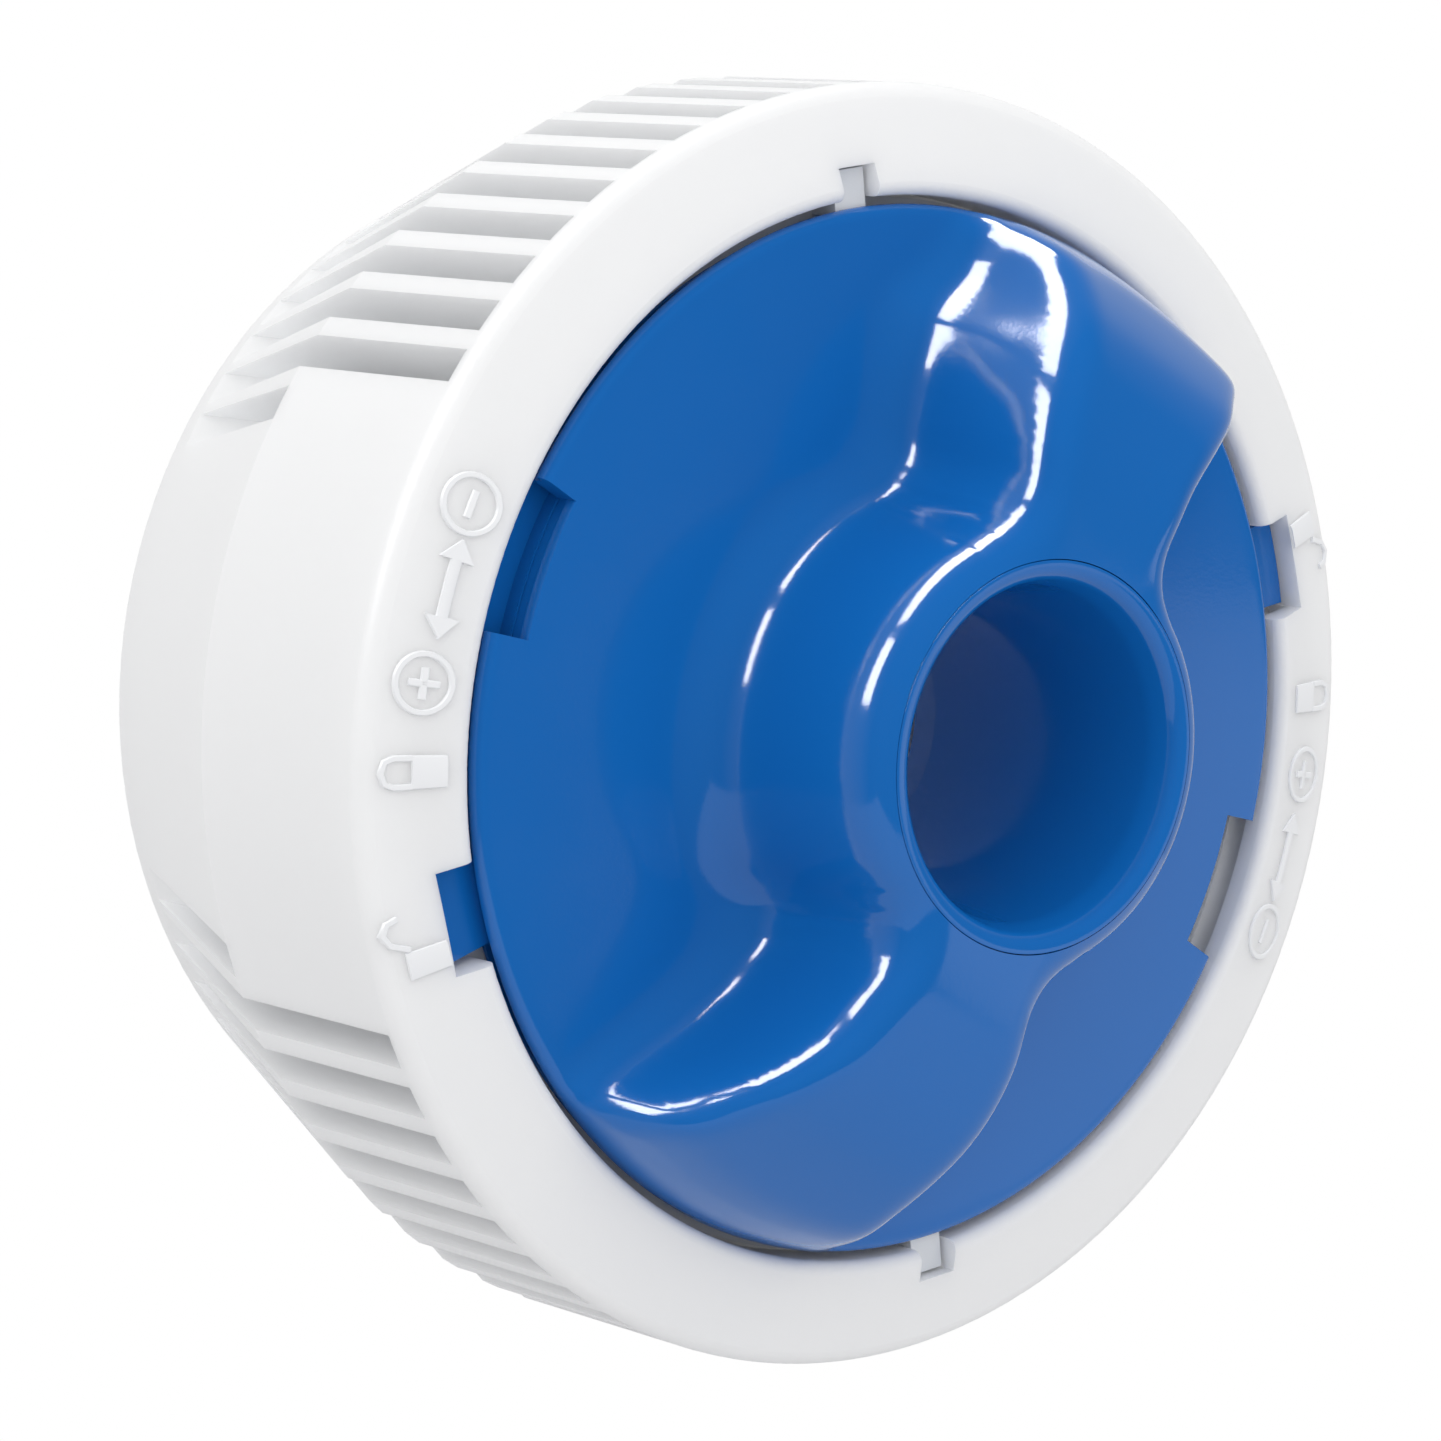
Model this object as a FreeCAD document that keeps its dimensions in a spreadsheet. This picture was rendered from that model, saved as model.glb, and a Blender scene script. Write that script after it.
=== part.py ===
"""Inlet-mounted chlorine dispenser: a ribbed drum with a bayonet lid, a tablet basket and a through nozzle.

Every piece is drawn in the drum's own frame: Z runs along the drum's axis from the rear face to the
lid, and angles run counter-clockwise from X as the lid is looked at. The placement then lays the axis
down, so that the lid faces -Y and the middle of the rear face is the origin.
"""
import FreeCAD, Part
import math
import os
import Sketcher

Vector = FreeCAD.Vector
Rotation = FreeCAD.Rotation
Placement = FreeCAD.Placement

# driving dimensions, in millimetres and degrees
SIZES = {
    # drum
    "rib_height": 10.9,
    "drum_depth": 67.5,
    "cone_length": 34.9,
    "rear_wall": 2.2,
    "chamber_play": 1.0,
    "bezel_drop": 3.4,
    "bezel_round": 2.2,
    "shelf_width": 2.1,
    "lip_round": 1.2,
    "shelf_depth": 8.5,
    # ribs and the slots between them
    "slot_width": 4.1,
    "chamber_wall": 3.6,
    "slot_setback": 5.5,
    "slot_pitch": 5.2,
    "slot_first_angle": 23.2,
    "slots_per_side": 24,
    "vent_width": 2.0,
    "vent_start": 26.0,
    "vent_length": 26.0,
    # bayonet
    "lug_reach": 4.1,
    "lug_thickness": 2.4,
    "lug_start_angle": 188.6,
    "lug_span": 9.3,
    "lug_play": 0.4,
    "lug_margin": 0.5,
    "channel_sill": 0.4,
    "lid_travel": 40.0,
    # keyways of the basket
    "key_angle": 95.7,
    "key_width": 4.4,
    "key_reach": 3.3,
    "key_play": 0.4,
    "tab_play": 0.3,
    "key_thickness": 2.3,
    "keyway_depth": 4.9,
    # rear plate
    "plate_play": 0.4,
    "plate_rebate": 0.3,
    "plate_thickness": 3.0,
    "gasket_thickness": 0.8,
    "gasket_width": 3.6,
    "shelf_thickness": 2.0,
    "boss_inset": 8.5,
    "boss_radius": 4.0,
    "boss_length": 14.0,
    "boss_web": 3.0,
    "web_root": 0.75,
    "screw_radius": 1.9,
    "screw_play": 0.3,
    "pilot_play": 0.1,
    "screw_length": 12.0,
    "screw_head_radius": 3.6,
    "screw_head_depth": 1.5,
    "screw_count": 6,
    "screw_first_angle": 30.0,
    # inlet socket
    "socket_radius": 24.3,
    "socket_depth": 14.0,
    "collar_wall": 3.7,
    "seat_radius": 22.5,
    "seat_play": 0.3,
    "collar_floor": 2.5,
    "inlet_gasket_thickness": 2.0,
    # centre tube
    "tube_bore_radius": 15.0,
    "tube_wall": 3.2,
    "tube_play": 0.1,
    "tube_end": 51.5,
    "tube_flange_thickness": 2.0,
    "port_radius": 2.0,
    "port_height": 30.0,
    "port_count": 8,
    "tube_ring_setback": 5.0,
    "tube_ring_thickness": 2.0,
    "tube_ring_squeeze": 0.4,
    "ring_play": 0.1,
    # tablet basket
    "basket_floor_height": 21.5,
    "basket_floor_thickness": 2.0,
    "basket_wall": 2.3,
    "basket_play": 0.4,
    "basket_flange_thickness": 1.8,
    "basket_post_radius": 21.4,
    "basket_post_wall": 2.0,
    "basket_post_top": 57.0,
    "basket_slot_width": 3.0,
    "basket_slot_inner": 31.0,
    "basket_slot_edge": 4.3,
    "basket_slot_count": 20,
    "window_span": 14.0,
    "window_count": 12,
    "window_start": 28.0,
    "window_length": 24.0,
    # lid
    "lid_play": 1.9,
    "lid_thickness": 3.0,
    "lid_setback": 0.9,
    "lid_round": 2.4,
    "skirt_radius": 54.3,
    "skirt_wall": 2.3,
    "skirt_end": 24.3,
    "cutout_angle": 147.5,
    "cutout_span": 16.8,
    "open_turn": 23.0,
    "skirt_ring_height": 57.0,
    "skirt_ring_thickness": 1.2,
    # grip and hub
    "grip_angle": 59.5,
    "hub_base_radius": 25.7,
    "hub_top_radius": 24.9,
    "hub_height": 24.5,
    "hub_round": 2.9,
    "hub_fillet": 4.5,
    "wing_height": 24.0,
    "wing_setback": 1.2,
    "wing_wall": 2.6,
    # nozzle
    "nozzle_radius": 21.4,
    "nozzle_play": 0.3,
    "mouth_radius": 19.6,
    "mouth_round": 0.8,
    "throat_gap": 4.5,
    "throat_shoulder": 1.0,
    "tail_overlap": 11.5,
    "tail_play": 0.7,
    "tail_wall": 1.7,
    "nozzle_flange_radius": 23.6,
    "nozzle_flange_thickness": 1.8,
    "flange_gap": 0.3,
}

# dimensions that follow from those, from the sleeve outwards and from the tube's end
FOLLOWING = {
    "chamber_radius": "skirt_radius + basket_play + basket_wall + chamber_play",
    "slot_floor_radius": "chamber_radius + chamber_wall",
    "drum_radius": "slot_floor_radius + rib_height",
    "rear_radius": "chamber_radius + rear_wall",
    "lip_radius": "chamber_radius + shelf_width",
    "lug_radius": "lip_radius + lug_reach",
    "key_radius": "lip_radius + key_reach",
    "plate_radius": "chamber_radius - plate_play",
    "boss_circle_radius": "chamber_radius - boss_inset",
    "lid_radius": "lip_radius - lid_play",
    "wing_reach": "lid_radius - wing_setback",
    "basket_slot_outer": "skirt_radius - basket_slot_edge",
    "tube_ring_height": "tube_end - tube_ring_setback",
    "throat_height": "tube_end + throat_gap",
    "tail_end": "tube_end - tail_overlap",
}

doc = FreeCAD.newDocument("chlorine_dispenser")
sheet = doc.addObject("Spreadsheet::Sheet", "dim")
cells = [(alias, str(value)) for alias, value in SIZES.items()]
cells += [(alias, f"={formula}") for alias, formula in FOLLOWING.items()]
for row, (alias, content) in enumerate(cells, start=1):
    sheet.set(f"A{row}", alias)
    sheet.set(f"B{row}", content)
    sheet.setAlias(f"B{row}", alias)
doc.recompute()

UPRIGHT = Rotation(Vector(1, 0, 0), 90)
PIECES = []


def size(text):
    """The value of an expression on the sheet's aliases."""
    return sheet.evalExpression(text)


def origin_part(body, role):
    return [part for part in body.Origin.OriginFeatures if part.Role == role][0]


def new_body(label):
    body = doc.addObject("PartDesign::Body", label)
    body.Label = label
    body.Placement = Placement(Vector(0, 0, 0), UPRIGHT)
    PIECES.append(body)
    return body


def bind_point(sketch, line, end, across, along):
    """Ties one end of a line to two expressions, or to an axis where an expression is 0."""
    for kind, axis, text in (("DistanceX", -2, across), ("DistanceY", -1, along)):
        if text == "0":
            sketch.addConstraint(Sketcher.Constraint("PointOnObject", line, end, axis))
        else:
            index = sketch.addConstraint(Sketcher.Constraint(kind, line, end, size(text)))
            sketch.setExpression(f"Constraints[{index}]", text)


def outline(sketch, points):
    """A closed outline of straight lines through points given as pairs of expressions."""
    first = len(sketch.Geometry)
    places = [Vector(size(across), size(along), 0) for across, along in points]
    count = len(places)
    for k in range(count):
        sketch.addGeometry(Part.LineSegment(places[k], places[(k + 1) % count]), False)
    for k in range(count):
        sketch.addConstraint(Sketcher.Constraint("Coincident", first + k, 2, first + (k + 1) % count, 1))
    for k, (across, along) in enumerate(points):
        bind_point(sketch, first + k, 1, across, along)


def ring(sketch, across, along, radius):
    """A circle whose centre and radius are expressions."""
    place = Vector(size(across), size(along), 0)
    index = sketch.addGeometry(Part.Circle(place, Vector(0, 0, 1), size(radius)), False)
    bind_point(sketch, index, 3, across, along)
    limit = sketch.addConstraint(Sketcher.Constraint("Radius", index, size(radius)))
    sketch.setExpression(f"Constraints[{limit}]", radius)


def new_sketch(body, name, role, angle="0", height="0"):
    """A sketch on one of the body's planes, turned about the drum's axis or raised along it."""
    sketch = body.newObject("Sketcher::SketchObject", name)
    sketch.AttachmentSupport = [(origin_part(body, role), "")]
    sketch.MapMode = "FlatFace"
    turn_axis = Vector(0, 0, 1) if role == "XY_Plane" else Vector(0, 1, 0)
    sketch.AttachmentOffset = Placement(Vector(0, 0, size(height)), Rotation(turn_axis, size(angle) + 1))
    sketch.setExpression("AttachmentOffset.Rotation.Angle", angle)
    if role == "XY_Plane":
        sketch.setExpression("AttachmentOffset.Base.z", height)
    return sketch


def turned(body, name, points, kind="PartDesign::Revolution", angle="0", span=None):
    """Adds, or cuts with PartDesign::Groove, an outline (radius, height) turned about the drum's axis."""
    sketch = new_sketch(body, name + "_profile", "XZ_Plane", angle)
    outline(sketch, points)
    feature = body.newObject(kind, name)
    feature.Profile = sketch
    feature.ReferenceAxis = (sketch, ["V_Axis"])
    feature.Angle = 360
    if span:
        feature.Angle = size(span)
        feature.setExpression("Angle", span)
    return feature


def box_points(inner, outer, low, high):
    """The corners of a ring's section."""
    return [(inner, low), (outer, low), (outer, high), (inner, high)]


def bar(near, far, width):
    """The corners of a strip that lies along a sketch's first axis."""
    half = f"({width}) / 2"
    return [(near, f"-{half}"), (far, f"-{half}"), (far, half), (near, half)]


def bars(sketch, near, far, width):
    """Draws such a strip on either side of the drum's axis."""
    for side in ("", "-"):
        outline(sketch, bar(f"{side}({near})", f"{side}({far})", width))


def pushed(body, name, sketch, length, kind="PartDesign::Pocket"):
    """Pads a sketch, or cuts it with PartDesign::Pocket, towards the lid."""
    feature = body.newObject(kind, name)
    feature.Profile = sketch
    feature.Length = size(length)
    feature.setExpression("Length", length)
    feature.Reversed = kind == "PartDesign::Pocket"
    return feature


def repeated(body, name, feature, count, angle="360"):
    """Copies of a feature about the drum's axis."""
    pattern = body.newObject("PartDesign::PolarPattern", name)
    pattern.Originals = [feature]
    pattern.Axis = (origin_part(body, "Z_Axis"), [""])
    pattern.Angle = size(angle)
    pattern.setExpression("Angle", angle)
    pattern.Occurrences = int(size(count))
    pattern.setExpression("Occurrences", count)
    body.Tip = pattern
    doc.recompute()
    return pattern


def circle_edges(shape, radius, height):
    """The names of the full circles of one radius at one height."""
    found = []
    for number, edge in enumerate(shape.Edges, start=1):
        curve = edge.Curve
        if not isinstance(curve, Part.Circle):
            continue
        near_radius = abs(curve.Radius - radius) < 0.01
        if near_radius and abs(curve.Center.z - height) < 0.01:
            found.append(f"Edge{number}")
    return found


def rounded(body, name, base, radius, height, value):
    """Rounds the circles of one radius and height on a feature."""
    doc.recompute()
    edges = circle_edges(base.Shape, size(radius), size(height))
    fillet = body.newObject("PartDesign::Fillet", name)
    fillet.Base = (base, edges)
    fillet.Radius = size(value)
    fillet.setExpression("Radius", value)
    body.Tip = fillet
    doc.recompute()
    return fillet


# shared places, worked out from the sizes
FACE = "dim.drum_depth"
LID_FACE = "(dim.drum_depth - dim.lid_setback)"
LID_UNDER = "(dim.drum_depth - dim.lid_setback - dim.lid_thickness)"
SHELF = "(dim.drum_depth - dim.shelf_depth)"
CHANNEL_TOP = f"({LID_UNDER} + dim.lug_play / 2)"
CHANNEL_FLOOR = f"({LID_UNDER} - dim.lug_thickness - dim.lug_play / 2)"
CHANNEL_RADIUS = "(dim.lug_radius + dim.lug_play)"
SLOT_SPREAD = "(dim.slots_per_side - 1) * dim.slot_pitch"
GASKET_FACE = "(dim.plate_thickness + dim.gasket_thickness)"
COLLAR_RADIUS = "(dim.socket_radius + dim.collar_wall)"
FLANGE_SEAT = "(dim.socket_depth + dim.inlet_gasket_thickness + dim.tube_flange_thickness)"
TUBE_RADIUS = "(dim.tube_bore_radius + dim.tube_wall)"
BASKET_INNER = "(dim.skirt_radius + dim.basket_play)"
BASKET_OUTER = "(dim.skirt_radius + dim.basket_play + dim.basket_wall)"
KEYWAY_FLOOR = "(dim.drum_depth - dim.keyway_depth)"


def drum_housing():
    """The white outer shell: bezel, ribbed wall, rear cone and the screw bosses of the rear plate."""
    body = new_body("drum_housing")
    turned(body, "shell", [
        ("dim.plate_radius + dim.plate_rebate", "0"),
        ("dim.rear_radius", "0"),
        ("dim.drum_radius", "dim.cone_length"),
        ("dim.drum_radius", f"{FACE} - dim.bezel_drop"),
        ("dim.lip_radius", FACE),
        ("dim.lip_radius", SHELF),
        ("dim.chamber_radius", SHELF),
        ("dim.chamber_radius", f"{GASKET_FACE} + dim.shelf_thickness"),
        ("dim.plate_radius - dim.gasket_width", f"{GASKET_FACE} + dim.shelf_thickness"),
        ("dim.plate_radius - dim.gasket_width", GASKET_FACE),
        ("dim.plate_radius + dim.plate_rebate", GASKET_FACE),
    ])
    channel = turned(body, "lug_channel", box_points(
        "dim.chamber_radius + dim.channel_sill", CHANNEL_RADIUS, CHANNEL_FLOOR, CHANNEL_TOP,
    ), "PartDesign::Groove", "dim.lug_start_angle - dim.lid_travel - dim.lug_margin",
        "dim.lug_span + dim.lid_travel + 2 * dim.lug_margin")
    channels = repeated(body, "lug_channels", channel, "2")
    shoulder = rounded(body, "shoulder", channels, "dim.drum_radius", f"{FACE} - dim.bezel_drop",
                       "dim.bezel_round")
    rounded(body, "lip_edge", shoulder, "dim.lip_radius", FACE, "dim.lip_round")

    web_outline = new_sketch(body, "web_outline", "XY_Plane", "dim.screw_first_angle", GASKET_FACE)
    outline(web_outline, bar("dim.boss_circle_radius", "dim.chamber_radius + dim.web_root", "dim.boss_web"))
    web = pushed(body, "web", web_outline, "dim.boss_length - dim.gasket_thickness", "PartDesign::Pad")
    repeated(body, "webs", web, "dim.screw_count")
    boss_outline = new_sketch(body, "boss_outline", "XY_Plane", "dim.screw_first_angle",
                              "dim.plate_thickness")
    ring(boss_outline, "dim.boss_circle_radius", "0", "dim.boss_radius")
    boss = pushed(body, "boss", boss_outline, "dim.boss_length", "PartDesign::Pad")
    repeated(body, "bosses", boss, "dim.screw_count")
    pilot_outline = new_sketch(body, "pilot_outline", "XY_Plane", "dim.screw_first_angle", "0")
    ring(pilot_outline, "dim.boss_circle_radius", "0", "dim.screw_radius + dim.pilot_play")
    pilot = pushed(body, "pilot", pilot_outline, "dim.screw_length + dim.screw_head_depth")
    repeated(body, "pilots", pilot, "dim.screw_count")

    entry_angle = "dim.lug_start_angle + dim.lug_span / 2"
    entries = new_sketch(body, "lug_entry_outline", "XY_Plane", entry_angle, CHANNEL_FLOOR)
    bars(entries, "dim.chamber_radius", CHANNEL_RADIUS,
         f"2 * {CHANNEL_RADIUS} * tan((dim.lug_span / 2 + dim.lug_margin) * 1deg)")
    pushed(body, "lug_entries", entries, f"{FACE} - {CHANNEL_FLOOR} + dim.bezel_drop")

    keyways = new_sketch(body, "keyway_outline", "XY_Plane", "dim.key_angle", KEYWAY_FLOOR)
    bars(keyways, "dim.chamber_radius", "dim.key_radius + dim.key_play", "dim.key_width + 2 * dim.key_play")
    pushed(body, "keyways", keyways, "dim.keyway_depth + dim.bezel_drop")

    slots = new_sketch(body, "slot_outline", "XY_Plane", "dim.slot_first_angle")
    bars(slots, "dim.slot_floor_radius", "dim.drum_radius + dim.slot_width", "dim.slot_width")
    slot = pushed(body, "slot", slots, f"{FACE} - dim.slot_setback")
    repeated(body, "slots", slot, "dim.slots_per_side", SLOT_SPREAD)

    ends = new_sketch(body, "end_slot_outline", "XY_Plane", "dim.slot_first_angle - dim.slot_pitch")
    bars(ends, "dim.slot_floor_radius", "dim.drum_radius + dim.slot_width", "dim.slot_width")
    end_slot = pushed(body, "end_slot", ends, "dim.cone_length")
    repeated(body, "end_slots", end_slot, "2", f"{SLOT_SPREAD} + 2 * dim.slot_pitch")

    vents = new_sketch(body, "vent_outline", "XY_Plane", "dim.slot_first_angle", "dim.vent_start")
    bars(vents, "dim.chamber_radius - dim.vent_width", "dim.slot_floor_radius + dim.vent_width",
         "dim.vent_width")
    vent = pushed(body, "vent", vents, "dim.vent_length")
    repeated(body, "vents", vent, "dim.slots_per_side", SLOT_SPREAD)
    return body


def rear_plate():
    """The disc that closes the drum behind, with the socket for the pool's inlet spigot."""
    body = new_body("rear_plate")
    turned(body, "disc", [
        ("dim.socket_radius", "0"),
        ("dim.plate_radius", "0"),
        ("dim.plate_radius", "dim.plate_thickness"),
        (COLLAR_RADIUS, "dim.plate_thickness"),
        (COLLAR_RADIUS, f"{FLANGE_SEAT} + dim.collar_floor"),
        (f"{TUBE_RADIUS} + dim.tube_play", f"{FLANGE_SEAT} + dim.collar_floor"),
        (f"{TUBE_RADIUS} + dim.tube_play", FLANGE_SEAT),
        ("dim.seat_radius", FLANGE_SEAT),
        ("dim.seat_radius", "dim.socket_depth"),
        ("dim.socket_radius", "dim.socket_depth"),
    ])
    hole_outline = new_sketch(body, "hole_outline", "XY_Plane", "dim.screw_first_angle", "0")
    ring(hole_outline, "dim.boss_circle_radius", "0", "dim.screw_radius + dim.screw_play")
    hole = pushed(body, "screw_hole", hole_outline, "dim.plate_thickness")
    repeated(body, "screw_holes", hole, "dim.screw_count")
    recess_outline = new_sketch(body, "recess_outline", "XY_Plane", "dim.screw_first_angle", "0")
    ring(recess_outline, "dim.boss_circle_radius", "0", "dim.screw_head_radius + dim.screw_play")
    recess = pushed(body, "head_recess", recess_outline, "dim.screw_head_depth")
    repeated(body, "head_recesses", recess, "dim.screw_count")
    return body


def plate_gasket():
    """The flat rubber ring between the rear plate and the drum's shelf."""
    body = new_body("plate_gasket")
    turned(body, "flat_ring", box_points(
        "dim.plate_radius - dim.gasket_width", "dim.plate_radius", "dim.plate_thickness", GASKET_FACE))
    return body


def plate_screws():
    """Six pan-head screws, from the rear face into the drum's bosses."""
    solids = []
    for k in range(int(size("dim.screw_count"))):
        head = doc.addObject("Part::Cylinder", f"screw_head_{k + 1}")
        head.setExpression("Radius", "dim.screw_head_radius")
        head.setExpression("Height", "dim.screw_head_depth")
        shank = doc.addObject("Part::Cylinder", f"screw_shank_{k + 1}")
        shank.setExpression("Radius", "dim.screw_radius")
        shank.setExpression("Height", "dim.screw_length")
        turn = f"dim.screw_first_angle + {k} * 360 / dim.screw_count"
        for part in (head, shank):
            part.setExpression("Placement.Base.x", f"dim.boss_circle_radius * cos(({turn}) * 1deg)")
            part.setExpression("Placement.Base.y", f"dim.boss_circle_radius * sin(({turn}) * 1deg)")
        screw = doc.addObject("Part::Fuse", f"screw_{k + 1}")
        screw.Base = head
        screw.Tool = shank
        solids.append(screw)
    group = doc.addObject("Part::Compound", "plate_screws")
    group.Label = "plate_screws"
    group.Links = solids
    group.Placement = Placement(Vector(0, 0, 0), UPRIGHT)
    PIECES.append(group)


def inlet_gasket():
    """The rubber washer at the bottom of the socket, against which the spigot's end is pressed."""
    body = new_body("inlet_gasket")
    turned(body, "washer", box_points(
        TUBE_RADIUS, "dim.seat_radius - dim.seat_play",
        "dim.socket_depth", "dim.socket_depth + dim.inlet_gasket_thickness"))
    return body


def centre_tube():
    """The tube that carries the return water through the tablets, with ports that bleed some of it off."""
    body = new_body("centre_tube")
    low = "dim.socket_depth + dim.inlet_gasket_thickness"
    groove = f"({TUBE_RADIUS} - dim.tube_ring_thickness + dim.tube_ring_squeeze)"
    turned(body, "tube", [
        ("dim.tube_bore_radius", low),
        ("dim.seat_radius - dim.seat_play", low),
        ("dim.seat_radius - dim.seat_play", FLANGE_SEAT),
        (TUBE_RADIUS, FLANGE_SEAT),
        (TUBE_RADIUS, "dim.tube_end"),
        ("dim.tube_bore_radius", "dim.tube_end"),
    ])
    turned(body, "ring_groove", box_points(
        groove, f"{TUBE_RADIUS} + dim.tube_wall",
        "dim.tube_ring_height - dim.tube_ring_thickness / 2 - dim.ring_play",
        "dim.tube_ring_height + dim.tube_ring_thickness / 2 + dim.ring_play"), "PartDesign::Groove")
    port_outline = new_sketch(body, "port_outline", "YZ_Plane")
    ring(port_outline, "0", "dim.port_height", "dim.port_radius")
    port = pushed(body, "port", port_outline, f"{TUBE_RADIUS} + dim.tube_wall")
    repeated(body, "ports", port, "dim.port_count")
    return body


def o_ring(label, centre_radius, height, thickness):
    """A rubber O-ring about the drum's axis."""
    body = doc.addObject("Part::Torus", label)
    body.Label = label
    body.setExpression("Radius1", centre_radius)
    body.setExpression("Radius2", f"({thickness}) / 2")
    body.Placement = Placement(Vector(0, -size(height), 0), UPRIGHT)
    body.setExpression("Placement.Base.y", f"-({height})")
    PIECES.append(body)


def tablet_basket():
    """The white basket that holds the tablets: a slotted floor, a windowed wall and two hanging keys."""
    body = new_body("tablet_basket")
    floor_top = "(dim.basket_floor_height + dim.basket_floor_thickness)"
    post_outer = "(dim.basket_post_radius + dim.basket_post_wall)"
    flange_outer = "dim.lip_radius - dim.basket_play"
    turned(body, "tub", [
        ("dim.basket_post_radius", "dim.basket_floor_height"),
        (BASKET_OUTER, "dim.basket_floor_height"),
        (BASKET_OUTER, SHELF),
        (flange_outer, SHELF),
        (flange_outer, f"{SHELF} + dim.basket_flange_thickness"),
        (BASKET_INNER, f"{SHELF} + dim.basket_flange_thickness"),
        (BASKET_INNER, floor_top),
        (post_outer, floor_top),
        (post_outer, "dim.basket_post_top"),
        ("dim.basket_post_radius", "dim.basket_post_top"),
    ])
    tab = new_sketch(body, "tab_outline", "XY_Plane", "dim.key_angle", SHELF)
    bars(tab, "dim.lid_radius + dim.tab_play", flange_outer, "dim.key_width")
    pushed(body, "tabs", tab, f"{KEYWAY_FLOOR} + dim.key_thickness - {SHELF}", "PartDesign::Pad")
    key = new_sketch(body, "key_outline", "XY_Plane", "dim.key_angle", KEYWAY_FLOOR)
    bars(key, "dim.lid_radius + dim.tab_play", "dim.key_radius", "dim.key_width")
    pushed(body, "keys", key, "dim.key_thickness", "PartDesign::Pad")
    window = turned(body, "window", box_points(
        f"{BASKET_INNER} - dim.basket_wall", f"{BASKET_OUTER} + dim.basket_wall",
        "dim.window_start", "dim.window_start + dim.window_length",
    ), "PartDesign::Groove", "-dim.window_span / 2", "dim.window_span")
    repeated(body, "windows", window, "dim.window_count")
    slit_outline = new_sketch(body, "slit_outline", "XY_Plane", "0", "dim.basket_floor_height")
    outline(slit_outline, bar("dim.basket_slot_inner", "dim.basket_slot_outer", "dim.basket_slot_width"))
    slit = pushed(body, "slit", slit_outline, "dim.basket_floor_thickness")
    repeated(body, "slits", slit, "dim.basket_slot_count")
    port_outline = new_sketch(body, "post_port_outline", "YZ_Plane")
    ring(port_outline, "0", "dim.port_height", "dim.port_radius")
    port = pushed(body, "post_port", port_outline, f"{post_outer} + dim.basket_post_wall")
    repeated(body, "post_ports", port, "dim.port_count")
    return body


def outlet_nozzle():
    """The blue funnel in the hub, whose tail slides over the centre tube."""
    body = new_body("outlet_nozzle")
    top = f"({LID_FACE} + dim.hub_height)"
    tail_bore = f"({TUBE_RADIUS} + dim.tail_play)"
    tail_outer = f"({tail_bore} + dim.tail_wall)"
    flange_top = f"({LID_UNDER} - dim.flange_gap)"
    funnel = turned(body, "funnel", [
        (tail_bore, "dim.tail_end"),
        (tail_outer, "dim.tail_end"),
        (tail_outer, f"{flange_top} - dim.nozzle_flange_thickness"),
        ("dim.nozzle_flange_radius", f"{flange_top} - dim.nozzle_flange_thickness"),
        ("dim.nozzle_flange_radius", flange_top),
        ("dim.nozzle_radius", flange_top),
        ("dim.nozzle_radius", top),
        ("dim.mouth_radius", top),
        ("dim.tube_bore_radius", "dim.throat_height"),
        ("dim.tube_bore_radius", "dim.tube_end + dim.throat_shoulder"),
        (tail_bore, "dim.tube_end + dim.throat_shoulder"),
    ])
    rounded(body, "mouth_edge", funnel, "dim.mouth_radius", top, "dim.mouth_round")
    return body


# a wing's sections: place along the grip as a share of its reach, foot and upper edge on the clockwise
# side and upper edge and foot on the other side in millimetres, height as a share of the wing's height
WING_SECTIONS = [
    (0.33, -8.2, -6.8, 14.4, 16.0, 0.90),
    (0.45, -8.6, -7.2, 15.8, 17.4, 0.95),
    (0.54, -9.4, -7.7, 17.2, 19.0, 0.97),
    (0.64, -11.8, -8.9, 17.5, 20.6, 0.94),
    (0.73, -15.2, -10.7, 17.2, 21.8, 0.87),
    (0.82, -19.6, -13.6, 16.9, 22.4, 0.75),
    (0.91, -23.0, -17.4, 17.0, 23.4, 0.56),
    (1.02, -26.0, -20.4, 17.4, 25.0, 0.30),
]
# how far in from the upper edge, in millimetres, the flank's rounding reaches a share of the height
EDGE_ROUNDING = [(-0.3, 0.55), (0.9, 0.86), (3.6, 0.99)]


def bell(along, widths, top, inset, foot):
    """One section of a wing: steep flanks and a rounded top, closed by a straight foot below the face."""
    low_foot, low_edge, high_edge, high_foot = widths
    rising = [Vector(along, low_foot + inset, 0)]
    falling = [Vector(along, high_foot - inset, 0)]
    for reach, share in EDGE_ROUNDING:
        rising.append(Vector(along, low_edge + reach + inset, top * share))
        falling.append(Vector(along, high_edge - reach - inset, top * share))
    crown = rising + [Vector(along, (low_edge + high_edge) / 2, top)] + falling[::-1]
    curve = Part.BSplineCurve()
    curve.interpolate(crown)
    corners = [crown[-1], Vector(along, crown[-1].y, -foot), Vector(along, crown[0].y, -foot), crown[0]]
    sides = [Part.LineSegment(corners[k], corners[k + 1]).toShape() for k in range(3)]
    return Part.Wire([curve.toShape()] + sides)


def wing(inset, foot):
    """One wing, drawn along X over the lid's face, or the hollow under it where inset is the wall."""
    reach = size("dim.wing_reach")
    height = size("dim.wing_height")
    wires = [bell(along * reach, widths, height * share - inset, inset, foot)
             for along, *widths, share in WING_SECTIONS]
    return Part.makeLoft(wires, True, False)


def round_bar(radius, low, high):
    """A plain cylinder about the drum's axis between two heights."""
    return Part.makeCylinder(radius, size(high) - size(low), Vector(0, 0, size(low)))


def turned_half(shape):
    """A copy on the other side of the drum's axis."""
    copy = shape.copy()
    copy.rotate(Vector(0, 0, 0), Vector(0, 0, 1), 180)
    return copy


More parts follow.
